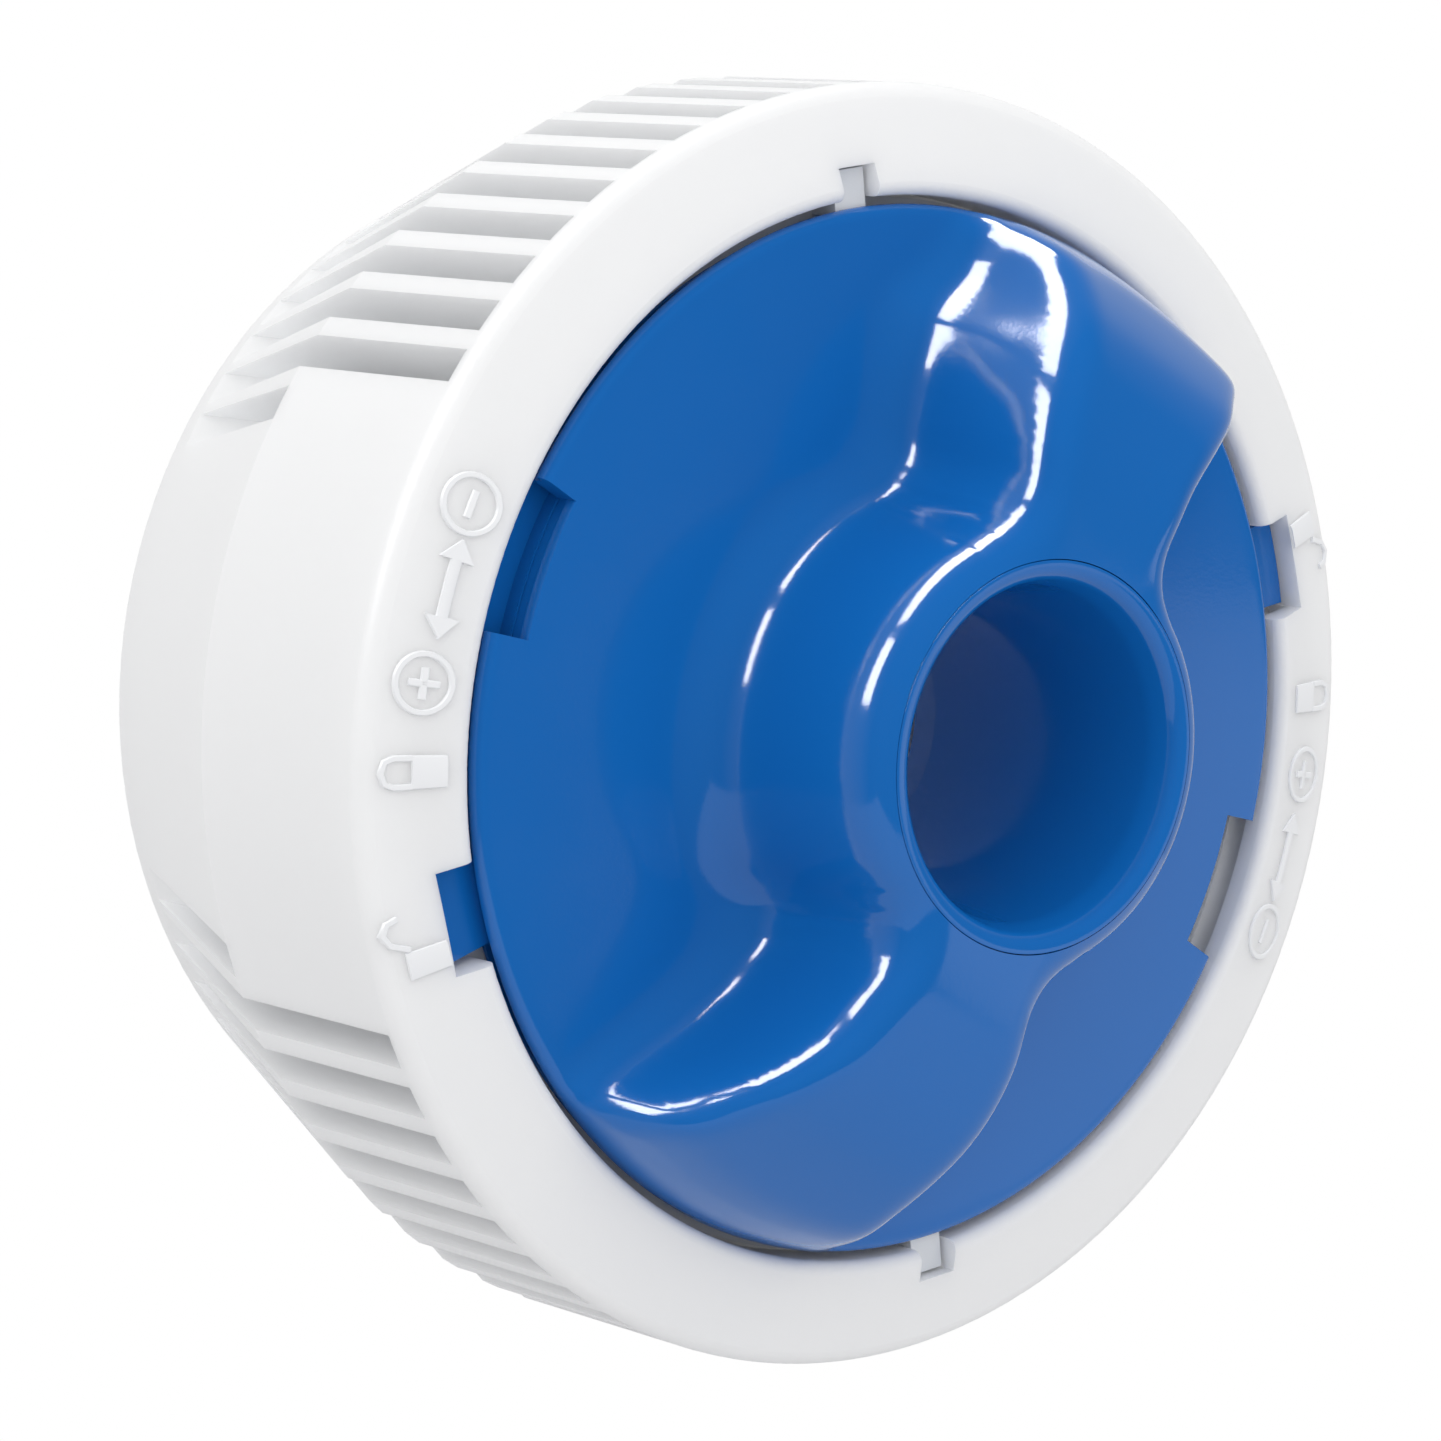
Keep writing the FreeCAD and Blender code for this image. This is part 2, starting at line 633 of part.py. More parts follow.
def flow_sleeve():
    """The blue sleeve under the lid: its windows pass those of the basket, and its lugs lock the lid."""
    body = new_body("flow_sleeve")
    inner = "(dim.skirt_radius - dim.skirt_wall)"
    turned(body, "sleeve", box_points(inner, "dim.skirt_radius", "dim.skirt_end", LID_UNDER))
    turned(body, "seal_groove", box_points(
        "dim.skirt_radius - dim.skirt_ring_thickness + dim.ring_play", "dim.skirt_radius + dim.skirt_wall",
        "dim.skirt_ring_height - dim.skirt_ring_thickness / 2",
        "dim.skirt_ring_height + dim.skirt_ring_thickness / 2"), "PartDesign::Groove")
    lug = turned(body, "lug", box_points(
        "dim.skirt_radius - dim.skirt_wall / 2", "dim.lug_radius",
        f"{LID_UNDER} - dim.lug_thickness", LID_UNDER,
    ), "PartDesign::Revolution", "dim.lug_start_angle", "dim.lug_span")
    repeated(body, "lugs", lug, "2")
    window = turned(body, "sleeve_window", box_points(
        "dim.skirt_radius - 2 * dim.skirt_wall", "dim.skirt_radius + dim.skirt_wall",
        "dim.window_start", "dim.window_start + dim.window_length",
    ), "PartDesign::Groove", "dim.open_turn - dim.window_span / 2", "dim.window_span")
    repeated(body, "sleeve_windows", window, "dim.window_count")
    return body


def lid():
    """The blue lid: the face with its rim, the hub and the two-winged grip, hollow behind."""
    body = doc.addObject("PartDesign::Body", "lid_disc")
    top = f"({LID_FACE} + dim.hub_height)"
    hub_bore = "(dim.nozzle_radius + dim.nozzle_play)"
    disc = turned(body, "disc_and_hub", [
        (hub_bore, LID_UNDER),
        ("dim.lid_radius", LID_UNDER),
        ("dim.lid_radius", LID_FACE),
        ("dim.hub_base_radius", LID_FACE),
        ("dim.hub_top_radius", top),
        (hub_bore, top),
    ])
    rim = rounded(body, "rim_edge", disc, "dim.lid_radius", LID_FACE, "dim.lid_round")
    foot = rounded(body, "hub_foot", rim, "dim.hub_base_radius", LID_FACE, "dim.hub_fillet")
    rounded(body, "hub_edge", foot, "dim.hub_top_radius", top, "dim.hub_round")
    cutout = turned(body, "cutout", box_points(
        "dim.skirt_radius", "dim.lid_radius + dim.lid_round",
        f"{LID_UNDER} - dim.lug_play", f"{LID_FACE} + dim.lid_round",
    ), "PartDesign::Groove", "dim.cutout_angle", "dim.cutout_span")
    repeated(body, "cutouts", cutout, "2")
    doc.recompute()
    wall = size("dim.wing_wall")
    thickness = size("dim.lid_thickness")
    reach = size("dim.wing_reach")
    outer = wing(0, thickness / 2)
    hollow = wing(wall, 2 * thickness)
    for part in (outer, hollow):
        part.translate(Vector(0, 0, size(LID_FACE)))
        part.rotate(Vector(0, 0, 0), Vector(0, 0, 1), size("dim.grip_angle"))
    outer = outer.common(round_bar(reach, LID_UNDER, top))
    hollow = hollow.common(round_bar(size("dim.skirt_radius") - wall, "dim.skirt_end", top))
    hollow = hollow.cut(round_bar(size("dim.nozzle_radius") + wall, "dim.skirt_end", top))
    solid = body.Shape.Solids[0]
    for part in (outer, turned_half(outer)):
        solid = solid.fuse(part)
    solid = solid.cut(round_bar(size(hub_bore), "dim.skirt_end", top + " + dim.hub_round"))
    for part in (hollow, turned_half(hollow)):
        solid = solid.cut(part)
    finished = doc.addObject("Part::Feature", "lid")
    finished.Label = "lid"
    finished.Shape = solid.removeSplitter()
    finished.Placement = Placement(Vector(0, 0, 0), UPRIGHT)
    PIECES.append(finished)


drum_housing()
rear_plate()
plate_gasket()
plate_screws()
inlet_gasket()
centre_tube()
o_ring("tube_seal", f"{TUBE_RADIUS} - dim.tube_ring_thickness / 2 + dim.tube_ring_squeeze",
       "dim.tube_ring_height", "dim.tube_ring_thickness")
tablet_basket()
outlet_nozzle()
o_ring("skirt_seal", "dim.skirt_radius - dim.skirt_ring_thickness / 2 + dim.ring_play",
       "dim.skirt_ring_height", "dim.skirt_ring_thickness")
flow_sleeve()
lid()
doc.recompute()

for item in doc.Objects:
    if "Invalid" in item.State or "Error" in item.State:
        raise RuntimeError(f"{item.Label} failed: {item.State}")
os.makedirs("parts", exist_ok=True)
for piece in PIECES:
    shape = piece.Shape
    if shape.isNull() or not shape.isValid():
        raise RuntimeError(f"{piece.Label} has no valid shape")
    print(piece.Label, "solids", len(shape.Solids), "volume", round(shape.Volume))
    shape.exportStep(os.path.join("parts", f"{piece.Label}.step"))
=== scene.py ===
"""The looks of an inlet-mounted chlorine dispenser: white ribbed drum, blue twist lid with a winged grip."""

import math

import bmesh
import bpy
from mathutils import Matrix, Vector


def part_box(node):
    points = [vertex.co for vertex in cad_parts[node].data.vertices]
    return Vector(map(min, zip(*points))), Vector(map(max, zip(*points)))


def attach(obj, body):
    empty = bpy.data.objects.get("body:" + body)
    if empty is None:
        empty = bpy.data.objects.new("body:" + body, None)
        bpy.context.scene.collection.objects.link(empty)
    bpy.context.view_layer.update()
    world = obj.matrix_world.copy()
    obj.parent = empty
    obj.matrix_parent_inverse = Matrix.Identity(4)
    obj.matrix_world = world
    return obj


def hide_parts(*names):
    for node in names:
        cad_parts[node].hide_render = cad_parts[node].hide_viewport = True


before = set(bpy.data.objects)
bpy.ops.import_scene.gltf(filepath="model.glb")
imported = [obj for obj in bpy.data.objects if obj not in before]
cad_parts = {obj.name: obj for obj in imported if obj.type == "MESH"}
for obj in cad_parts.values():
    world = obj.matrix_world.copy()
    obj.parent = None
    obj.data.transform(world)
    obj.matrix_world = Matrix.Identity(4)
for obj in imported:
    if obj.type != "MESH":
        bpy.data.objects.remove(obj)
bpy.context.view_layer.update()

MM = 0.001
FULL_TURN = 2 * math.pi

# radii, and distances ahead of the rear face; the lid faces -Y
DRUM_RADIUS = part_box("drum_housing")[1].x
LIP_PLANE = 67.5 * MM
MOUTH_PLANE = -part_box("outlet_nozzle")[0].y
LID_THICKNESS = 3.0
LID_UNDER = 63.6 * MM
LID_FACE = LID_UNDER + LID_THICKNESS * MM
LID_RADIUS = 59.1 * MM
SLEEVE_RADIUS = 54.3 * MM


# Shader maths

class Wire:
    """A shader socket that takes the usual operators."""

    def __init__(self, tree, socket):
        self.tree = tree
        self.socket = socket

    def maths(self, operation, *values):
        node = self.tree.nodes.new("ShaderNodeMath")
        node.operation = operation
        for slot, value in zip(node.inputs, values):
            if isinstance(value, Wire):
                self.tree.links.new(value.socket, slot)
            else:
                slot.default_value = value
        return Wire(self.tree, node.outputs[0])

    def __add__(self, other):
        return self.maths("ADD", self, other)

    def __radd__(self, other):
        return self.maths("ADD", other, self)

    def __sub__(self, other):
        return self.maths("SUBTRACT", self, other)

    def __rsub__(self, other):
        return self.maths("SUBTRACT", other, self)

    def __mul__(self, other):
        return self.maths("MULTIPLY", self, other)

    def __rmul__(self, other):
        return self.maths("MULTIPLY", other, self)


class Shading:
    """A node tree under construction, with one method that makes any node."""

    def __init__(self, tree):
        self.tree = tree

    def node(self, kind, settings=None, **values):
        """A node of a type, with its settings made first and then its sockets' values or links."""
        made = self.tree.nodes.new(kind)
        for name, value in (settings or {}).items():
            setattr(made, name, value)
        for name, value in values.items():
            self.connect(made.inputs[name.replace("_", " ")], value)
        return made

    def connect(self, socket, value):
        if isinstance(value, Wire):
            self.tree.links.new(value.socket, socket)
        elif isinstance(value, bpy.types.NodeSocket):
            self.tree.links.new(value, socket)
        else:
            socket.default_value = value

    def wire(self, socket):
        return Wire(self.tree, socket)


class Finish(Shading):
    """A material under construction."""

    def __init__(self, name):
        self.material = bpy.data.materials.new(name)
        self.material.use_nodes = True
        super().__init__(self.material.node_tree)
        self.shader = self.tree.nodes["Principled BSDF"]
        self.output = self.tree.nodes["Material Output"]

    def set(self, **values):
        """Values or links for the sockets of the shader."""
        for name, value in values.items():
            self.connect(self.shader.inputs[name.replace("_", " ")], value)

    def noise(self, scale, detail):
        """A cloud from 0 to 1 on the point of the piece, in metres."""
        place = self.node("ShaderNodeTexCoord").outputs["Object"]
        texture = self.node("ShaderNodeTexNoise", Vector=place, Scale=scale, Detail=detail)
        return self.wire(texture.outputs["Fac"])

    def mix(self, factor, first, second):
        mixer = self.node("ShaderNodeMix", {"data_type": "RGBA"}, Factor=factor)
        self.connect(mixer.inputs["A"], first)
        self.connect(mixer.inputs["B"], second)
        return mixer.outputs["Result"]

    def bump(self, height, strength, distance):
        """Relief from a height, which the shader takes as its normal."""
        relief = self.node("ShaderNodeBump", Strength=strength, Distance=distance, Height=height)
        self.set(Normal=relief.outputs["Normal"])


def moulded_plastic(name, colour, deep_colour, roughness, grain_depth, coat=0.0, depth=0.0):
    """Injection-moulded plastic: a faint cloud in the colour and the gloss, and a fine skin."""
    finish = Finish(name)
    cloud = finish.noise(scale=22.0, detail=3.0)
    smears = finish.noise(scale=160.0, detail=4.0)
    finish.set(Base_Color=finish.mix(cloud, deep_colour, colour), Roughness=roughness + 0.06 * (smears - 0.5),
               IOR=1.5, Coat_Weight=coat, Coat_Roughness=0.05, Subsurface_Weight=depth,
               Subsurface_Radius=(1.0, 1.0, 1.0), Subsurface_Scale=4.0 * MM)
    swell = finish.noise(scale=55.0, detail=1.0)
    skin = finish.noise(scale=2600.0, detail=2.0)
    finish.bump(swell * 0.7 + skin * 0.3, 1.0, grain_depth)
    return finish.material


def rubber():
    """Matt black rubber with a faint bloom."""
    finish = Finish("sealing_rubber")
    bloom = finish.noise(scale=300.0, detail=3.0)
    finish.set(Base_Color=finish.mix(bloom, (0.012, 0.012, 0.013, 1.0), (0.035, 0.035, 0.037, 1.0)),
               Roughness=0.55 + 0.15 * bloom)
    finish.bump(finish.noise(scale=1800.0, detail=2.0), 0.6, 0.04 * MM)
    return finish.material


def steel():
    """Stainless steel with a turned grain."""
    finish = Finish("stainless_steel")
    grain = finish.noise(scale=900.0, detail=4.0)
    finish.set(Base_Color=finish.mix(grain, (0.46, 0.46, 0.47, 1.0), (0.62, 0.62, 0.62, 1.0)), Metallic=1.0,
               Roughness=0.25 + 0.15 * grain)
    finish.bump(grain, 0.4, 0.02 * MM)
    return finish.material


WHITE = moulded_plastic("white_shell_plastic", colour=(0.95, 0.957, 0.968, 1.0),
                        deep_colour=(0.93, 0.94, 0.957, 1.0), roughness=0.42, grain_depth=0.03 * MM,
                        depth=0.6)
SIGN_WHITE = moulded_plastic("white_sign_plastic", colour=(0.93, 0.94, 0.957, 1.0),
                             deep_colour=(0.92, 0.93, 0.95, 1.0), roughness=0.42, grain_depth=0.01 * MM)
BASKET_WHITE = moulded_plastic("white_basket_plastic", colour=(0.80, 0.82, 0.84, 1.0),
                               deep_colour=(0.74, 0.76, 0.79, 1.0), roughness=0.5, grain_depth=0.03 * MM)
BLUE = moulded_plastic("blue_lid_plastic", colour=(0.007, 0.149, 0.52, 1.0),
                       deep_colour=(0.005, 0.135, 0.48, 1.0), roughness=0.11, grain_depth=0.02 * MM, coat=0.2)
RUBBER = rubber()
STEEL = steel()


# Modelling

SHARP_ANGLE = math.radians(38)
ARC_STEPS = 6
# how much of a straight run the arc at its end may take
ARC_SHARE = 0.85
# what counts as touching a plane or a radius
TOUCH = 0.01 * MM
# roundings of plain and of fine edges
PLAIN_EDGE = 0.3 * MM
FINE_EDGE = 0.15 * MM


def finish_mesh(name, work, material, body, replaces=()):
    """Turns a bmesh into a smooth piece that rides on a body."""
    mesh = bpy.data.meshes.new(name)
    work.to_mesh(mesh)
    work.free()
    for polygon in mesh.polygons:
        polygon.use_smooth = True
    mesh.set_sharp_from_angle(angle=SHARP_ANGLE)
    piece = bpy.data.objects.new(name, mesh)
    bpy.context.scene.collection.objects.link(piece)
    mesh.materials.append(material)
    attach(piece, body)
    if replaces:
        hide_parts(*replaces)
    return piece


def soften(corners):
    """A closed outline of (radius, ahead, rounding) corners with each corner turned into an arc."""
    points = []
    count = len(corners)
    for k, (radius, ahead, rounding) in enumerate(corners):
        here = Vector((radius, ahead))
        if rounding <= 0:
            points.append(here)
            continue
        back = Vector(corners[k - 1][:2]) - here
        on = Vector(corners[(k + 1) % count][:2]) - here
        half = back.angle(on) / 2
        reach = min(rounding / math.tan(half), ARC_SHARE * back.length, ARC_SHARE * on.length)
        true_radius = reach * math.tan(half)
        centre = here + (back.normalized() + on.normalized()).normalized() * (true_radius / math.sin(half))
        start = here + back.normalized() * reach - centre
        end = here + on.normalized() * reach - centre
        turn = start.angle_signed(end)
        for step in range(ARC_STEPS + 1):
            points.append(centre + Matrix.Rotation(-turn * step / ARC_STEPS, 2) @ start)
    return points


def spun(corners, steps, spacing):
    """A closed outline spun about the drum's axis, with its straight runs cut to a spacing."""
    outline = soften(corners)
    dense = []
    for k, point in enumerate(outline):
        following = outline[(k + 1) % len(outline)]
        pieces = max(1, round((following - point).length / spacing))
        dense += [point.lerp(following, step / pieces) for step in range(pieces)]
    work = bmesh.new()
    ring = [work.verts.new((point.x, -point.y, 0)) for point in dense]
    edges = [work.edges.new((ring[k], ring[(k + 1) % len(ring)])) for k in range(len(ring))]
    bmesh.ops.spin(work, geom=ring + edges, cent=(0, 0, 0), axis=(0, 1, 0), angle=FULL_TURN, steps=steps,
                   use_merge=True, use_duplicate=False)
    bmesh.ops.recalc_face_normals(work, faces=work.faces)
    return work


# The lid's grip, in millimetres

WING_ANGLE = math.radians(59.5)
HUB_RADIUS = 25.3
# Places along the wing: distance from the axis, height over the lid's face, then upper edge and foot on the
# clockwise side, and upper edge and foot on the other side.
WING_LINES = [
    (20.0, 24.5, -6.8, -8.0, 14.2, 15.4),
    (26.0, 24.4, -7.2, -8.4, 15.4, 16.6),
    (31.0, 24.0, -7.8, -8.9, 16.7, 18.3),
    (36.5, 22.9, -9.0, -10.2, 17.3, 20.1),
    (41.5, 21.4, -11.2, -12.5, 17.1, 20.6),
    (46.5, 18.8, -14.1, -15.7, 16.6, 18.9),
    (50.0, 15.9, -16.0, -18.2, 16.6, 18.4),
    (53.0, 12.9, -18.1, -20.3, 16.9, 18.8),
    (56.0, 9.7, -19.6, -21.7, 17.2, 19.2),
    (58.2, 7.3, -20.3, -22.3, 17.3, 19.4),
]
WING_START = 12
GRIP_END = 58.9
# how softly the wing's two sides, its end and the hub run into each other
SIDE_BLEND = 3.0
END_BLEND = 2.0
HUB_BLEND = 6.0
# roundings at the top and the foot, and the most that they take of the height
TOP_ROUNDING, TOP_SHARE = 4.6, 0.5
FOOT_ROUNDING, FOOT_SHARE = 7.5, 0.35
# how far the hub's side runs outward from top to foot
HUB_DRAFT = 0.9


def wing_line(along, column):
    """A smooth reading of one column of the wing's lines."""
    rows = WING_LINES
    if along <= rows[0][0]:
        return rows[0][column]
    if along >= rows[-1][0]:
        return rows[-1][column]
    k = next(k for k in range(len(rows) - 1) if along <= rows[k + 1][0])
    before, here, after, beyond = rows[max(k - 1, 0)], rows[k], rows[k + 1], rows[min(k + 2, len(rows) - 1)]
    gap = after[0] - here[0]
    share = (along - here[0]) / gap
    slope_here = (after[column] - before[column]) / (after[0] - before[0]) * gap
    slope_after = (beyond[column] - here[column]) / (beyond[0] - here[0]) * gap
    square, cube = share * share, share ** 3
    return ((2 * cube - 3 * square + 1) * here[column] + (cube - 2 * square + share) * slope_here
            + (3 * square - 2 * cube) * after[column] + (cube - square) * slope_after)


def soft_more(first, second, blend):
    """The larger of two values, with a soft turn between them."""
    near = max(0.0, 1 - abs(first - second) / blend)
    return max(first, second) + blend * near * near / 4


def soft_less(first, second, blend):
    """The smaller of two values, with a soft turn between them."""
    return -soft_more(-first, -second, blend)


def grip_height(x, z, inset):
    """How far the grip stands over the lid's face at a place, drawn in by an inset all round."""
    radius = math.hypot(x, z)
    along = x * math.cos(WING_ANGLE) + z * math.sin(WING_ANGLE)
    across = z * math.cos(WING_ANGLE) - x * math.sin(WING_ANGLE)
    if along < 0:
        along, across = -along, -across
    height, near_edge, near_foot, far_edge, far_foot = [wing_line(along, column) for column in range(1, 6)]
    wing = soft_less(far_edge - across, across - near_edge, SIDE_BLEND)
    wing = soft_less(wing, GRIP_END - radius, END_BLEND)
    if along < WING_START:
        wing -= WING_START - along
    hub = HUB_RADIUS - radius
    inside = soft_more(wing, hub, HUB_BLEND) - inset
    spread = far_foot - far_edge if across > (near_edge + far_edge) / 2 else near_edge - near_foot
    if hub > wing:
        spread = HUB_DRAFT
    height -= inset
    top = min(TOP_ROUNDING, height * TOP_SHARE)
    foot = min(FOOT_ROUNDING, height * FOOT_SHARE)
    if inside >= top:
        return height
    if inside >= 0:
        return height - top + math.sqrt(top * top - (top - inside) ** 2)
    if inside >= -spread:
        return foot + (height - top - foot) * (1 + inside / spread)
    beyond = -inside - spread
    if beyond < foot and inset == 0:
        return foot - math.sqrt(foot * foot - (foot - beyond) ** 2)
    return 0.0


# The lid's skin

HUB_BORE = 21.7 * MM
BORE_EDGE = HUB_BORE + TOUCH
LID_STEPS = 480
LID_SPACING = 0.6 * MM
RIM_ROUNDING = 1.25 * MM
# under the rim's edge the lid steps in to its neck
RIM_NECK = 58.2 * MM
RIM_STEP = LID_FACE - 1.45 * MM
# how near the rim the grip starts to run out
RIM_EASE = 4 * MM
# the grip's wall in millimetres, the skin left over its hollow, and the shallowest hollow that is made
SHELL = 2.6
HOLLOW_SKIN = 0.4
HOLLOW_LEAST = 0.5
HOLLOW_END = SLEEVE_RADIUS - 2.5 * MM
# the two cut-outs in the rim, in degrees and metres
CUTOUT_STARTS = [147.5, 327.5]
CUTOUT_SPAN = 16.8
CUTOUT_FLOOR = SLEEVE_RADIUS
CUTOUT_EASE = 1.5 * MM
CUTOUT_REACH = CUTOUT_FLOOR - 2 * MM
WALL_GAP = 0.03
# edges longer than these are halved, in turn
STEEP_LIMITS = (3.0 * MM, 2.0 * MM)
# the smoothed skin keeps clear of bore, grip's end and cut-outs, in millimetres
SMOOTHINGS = 9
BORE_MARGIN = 0.4
END_MARGIN = 0.8
WING_REACH = 40


def notched(radius, degrees):
    """A radius drawn in where the rim is cut out."""
    for start in CUTOUT_STARTS:
        if start < degrees < start + CUTOUT_SPAN and radius > CUTOUT_FLOOR - CUTOUT_EASE:
            share = (radius - CUTOUT_FLOOR + CUTOUT_EASE) / (LID_RADIUS - CUTOUT_FLOOR + CUTOUT_EASE)
            return CUTOUT_FLOOR - CUTOUT_EASE * (1 - share)
    return radius


def squared(degrees):
    """An angle moved to the side of a cut-out's wall, where it is near one."""
    step = 360 / LID_STEPS
    for start in CUTOUT_STARTS:
        for wall in (start, start + CUTOUT_SPAN):
            off = degrees - wall
            if 0 <= off < step:
                return wall + WALL_GAP
            if -step < off < 0:
                return wall - WALL_GAP
    return degrees


def raise_grip(verts):
    """Lifts the hub and wings out of a flat face, hollows them from behind and cuts the rim out."""
    for vert in verts:
        radius = math.hypot(vert.co.x, vert.co.z)
        ahead = -vert.co.y
        if radius > CUTOUT_REACH:
            degrees = squared(math.degrees(math.atan2(vert.co.z, vert.co.x)) % 360)
            radius = notched(radius, degrees)
            turn = math.radians(degrees)
            vert.co.x, vert.co.z = radius * math.cos(turn), radius * math.sin(turn)
        if ahead > LID_FACE - RIM_ROUNDING and (radius > BORE_EDGE or ahead > LID_FACE - TOUCH):
            lift = grip_height(vert.co.x / MM, vert.co.z / MM, 0) * MM
            reach = min(max((LID_RADIUS - radius) / RIM_EASE, 0.0), 1.0)
            vert.co.y -= lift * math.sqrt(1 - (1 - reach) ** 2)
        elif ahead < LID_UNDER + TOUCH and HUB_BORE + SHELL * MM < radius < HOLLOW_END:
            hollow = grip_height(vert.co.x / MM, vert.co.z / MM, SHELL)
            if hollow > HOLLOW_LEAST:
                vert.co.y -= (hollow + LID_THICKNESS - HOLLOW_SKIN) * MM


def smoothed(x, z):
    """Whether a place on the lid, in millimetres, lies on the skin that is smoothed."""
    radius = math.hypot(x, z)
    along = abs(x * math.cos(WING_ANGLE) + z * math.sin(WING_ANGLE))
    reach = GRIP_END - END_MARGIN if along > WING_REACH else CUTOUT_REACH / MM
    return HUB_BORE / MM + BORE_MARGIN < radius < reach


def lid_face():
    """The lid: rim, hub and the two wings of the grip as one hollow skin."""
    work = spun([
        (HUB_BORE, LID_UNDER, 0),
        (HUB_BORE, LID_FACE, 0),
        (LID_RADIUS, LID_FACE, RIM_ROUNDING),
        (LID_RADIUS, RIM_STEP, FINE_EDGE),
        (RIM_NECK, RIM_STEP, 0),
        (RIM_NECK, LID_UNDER, PLAIN_EDGE),
    ], LID_STEPS, LID_SPACING)
    raise_grip(work.verts)
    for longest in STEEP_LIMITS:
        steep = [edge for edge in work.edges if edge.calc_length() > longest
                 and max(math.hypot(vert.co.x, vert.co.z) for vert in edge.verts) > BORE_EDGE]
        bmesh.ops.subdivide_edges(work, edges=steep, cuts=1, use_grid_fill=True)
    skin = [vert for vert in work.verts if smoothed(vert.co.x / MM, vert.co.z / MM)]
    for _ in range(SMOOTHINGS):
        bmesh.ops.smooth_vert(work, verts=skin, factor=0.5, use_axis_x=True, use_axis_y=True, use_axis_z=True)
    return finish_mesh("lid_face", work, BLUE, "lid_group", ("lid",))


# The funnel in the hub, and the ledge behind the lid

NOZZLE_RADIUS = 21.61 * MM
TAIL_BORE = 18.9 * MM
TAIL_RADIUS = 20.6 * MM
FLANGE_RADIUS = 23.6 * MM
FLANGE_FACE = LID_UNDER - 0.3 * MM
FLANGE_BACK = LID_UNDER - 2.1 * MM
MOUTH_RADIUS = 19.7 * MM
# the funnel narrows from its shoulder to its throat
SHOULDER_RADIUS = 18.6 * MM
SHOULDER_PLANE = MOUTH_PLANE - 3.4 * MM
THROAT_RADIUS = 15.0 * MM
THROAT_FRONT = 56.0 * MM
THROAT_BACK = 52.5 * MM
LEDGE_RADIUS = 57.6 * MM
LEDGE_INNER = SLEEVE_RADIUS - 0.3 * MM
LEDGE_BACK = LID_UNDER - 2.4 * MM
LEDGE_FRONT = LEDGE_BACK + 0.5 * MM
TURNED_SPACING = 2.0 * MM


def nozzle_funnel():
    """The blue funnel in the hub."""
    tail_end = -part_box("outlet_nozzle")[1].y
    work = spun([
        (TAIL_BORE, tail_end, PLAIN_EDGE),
        (TAIL_RADIUS, tail_end, PLAIN_EDGE),
        (TAIL_RADIUS, FLANGE_BACK, 0),
        (FLANGE_RADIUS, FLANGE_BACK, PLAIN_EDGE),
        (FLANGE_RADIUS, FLANGE_FACE, PLAIN_EDGE),
        (NOZZLE_RADIUS, FLANGE_FACE, 0),
        (NOZZLE_RADIUS, MOUTH_PLANE, FINE_EDGE),
        (MOUTH_RADIUS, MOUTH_PLANE, 2.0 * MM),
        (SHOULDER_RADIUS, SHOULDER_PLANE, 8.0 * MM),
        (THROAT_RADIUS, THROAT_FRONT, 4.0 * MM),
        (THROAT_RADIUS, THROAT_BACK, 0),
        (TAIL_BORE, THROAT_BACK, PLAIN_EDGE),
    ], 240, TURNED_SPACING)
    return finish_mesh("nozzle_funnel", work, BLUE, "nozzle", ("outlet_nozzle",))


def lug_ledge():
    """The thin ledge round the sleeve that joins the lugs and closes the cut-outs from behind."""
    work = spun([
        (LEDGE_INNER, LEDGE_BACK, 0),
        (LEDGE_INNER, LEDGE_FRONT, 0),
        (LEDGE_RADIUS, LEDGE_FRONT, FINE_EDGE),
        (LEDGE_RADIUS, LEDGE_BACK, FINE_EDGE),
    ], 180, TURNED_SPACING)
    return finish_mesh("lug_ledge", work, BLUE, "lid_group")


# Raised signs on the bezel

BEZEL_DROP = 3.4 * MM
LIP_RADIUS = 60.1 * MM
SIGN_RELIEF = 0.32
SIGN_ROOT = -0.4
# a ridge's section: share of its half width, and height in millimetres
RIDGE_SECTION = [
    (-1.0, SIGN_ROOT), (-0.85, SIGN_RELIEF * 0.7), (-0.6, SIGN_RELIEF),
    (0.6, SIGN_RELIEF), (0.85, SIGN_RELIEF * 0.7), (1.0, SIGN_ROOT),
]
RING_WIDTH, RING_STEPS = 0.7, 40
LINE_WIDTH = 0.75
BAR_STEPS = 6
HEAD_HALF_WIDTH = 2.05
HEAD_SLOPE = 0.08
# Each sign has its angle in degrees, its distance from the axis and its strokes, in millimetres along the rim
# and outward: a ring's radius, a bar's start, end and width, a head's tip and base, or a line's points.
SIGNS = {
    "minus_sign": (153.4, 66.0, [("ring", 3.1), ("bar", -1.5, 0.0, 1.5, 0.0, 0.85)]),
    "turn_arrow": (161.4, 65.6, [
        ("bar", -3.2, 0.0, 3.2, 0.0, 1.4), ("head", -5.5, -3.0), ("head", 5.5, 3.0)]),
    "plus_sign": (170.3, 66.3, [
        ("ring", 3.1), ("bar", -1.7, 0.0, 1.7, 0.0, 0.9), ("bar", 0.0, -1.7, 0.0, 1.7, 0.9)]),
    "locked_sign": (178.4, 66.7, [
        ("bar", 0.0, -3.6, 0.0, 0.2, 4.0),
        ("line", [(-1.5, 0.2), (-1.5, 2.2), (-1.1, 3.2), (0.0, 3.6), (1.1, 3.2), (1.5, 2.2), (1.5, 0.2)])]),
    "open_sign": (193.8, 68.4, [
        ("bar", 2.4, -3.4, 2.4, 1.2, 3.4),
        ("line", [(0.6, 0.6), (-0.4, 2.6), (-1.6, 3.2), (-2.7, 2.6), (-3.0, 1.4)])]),
}


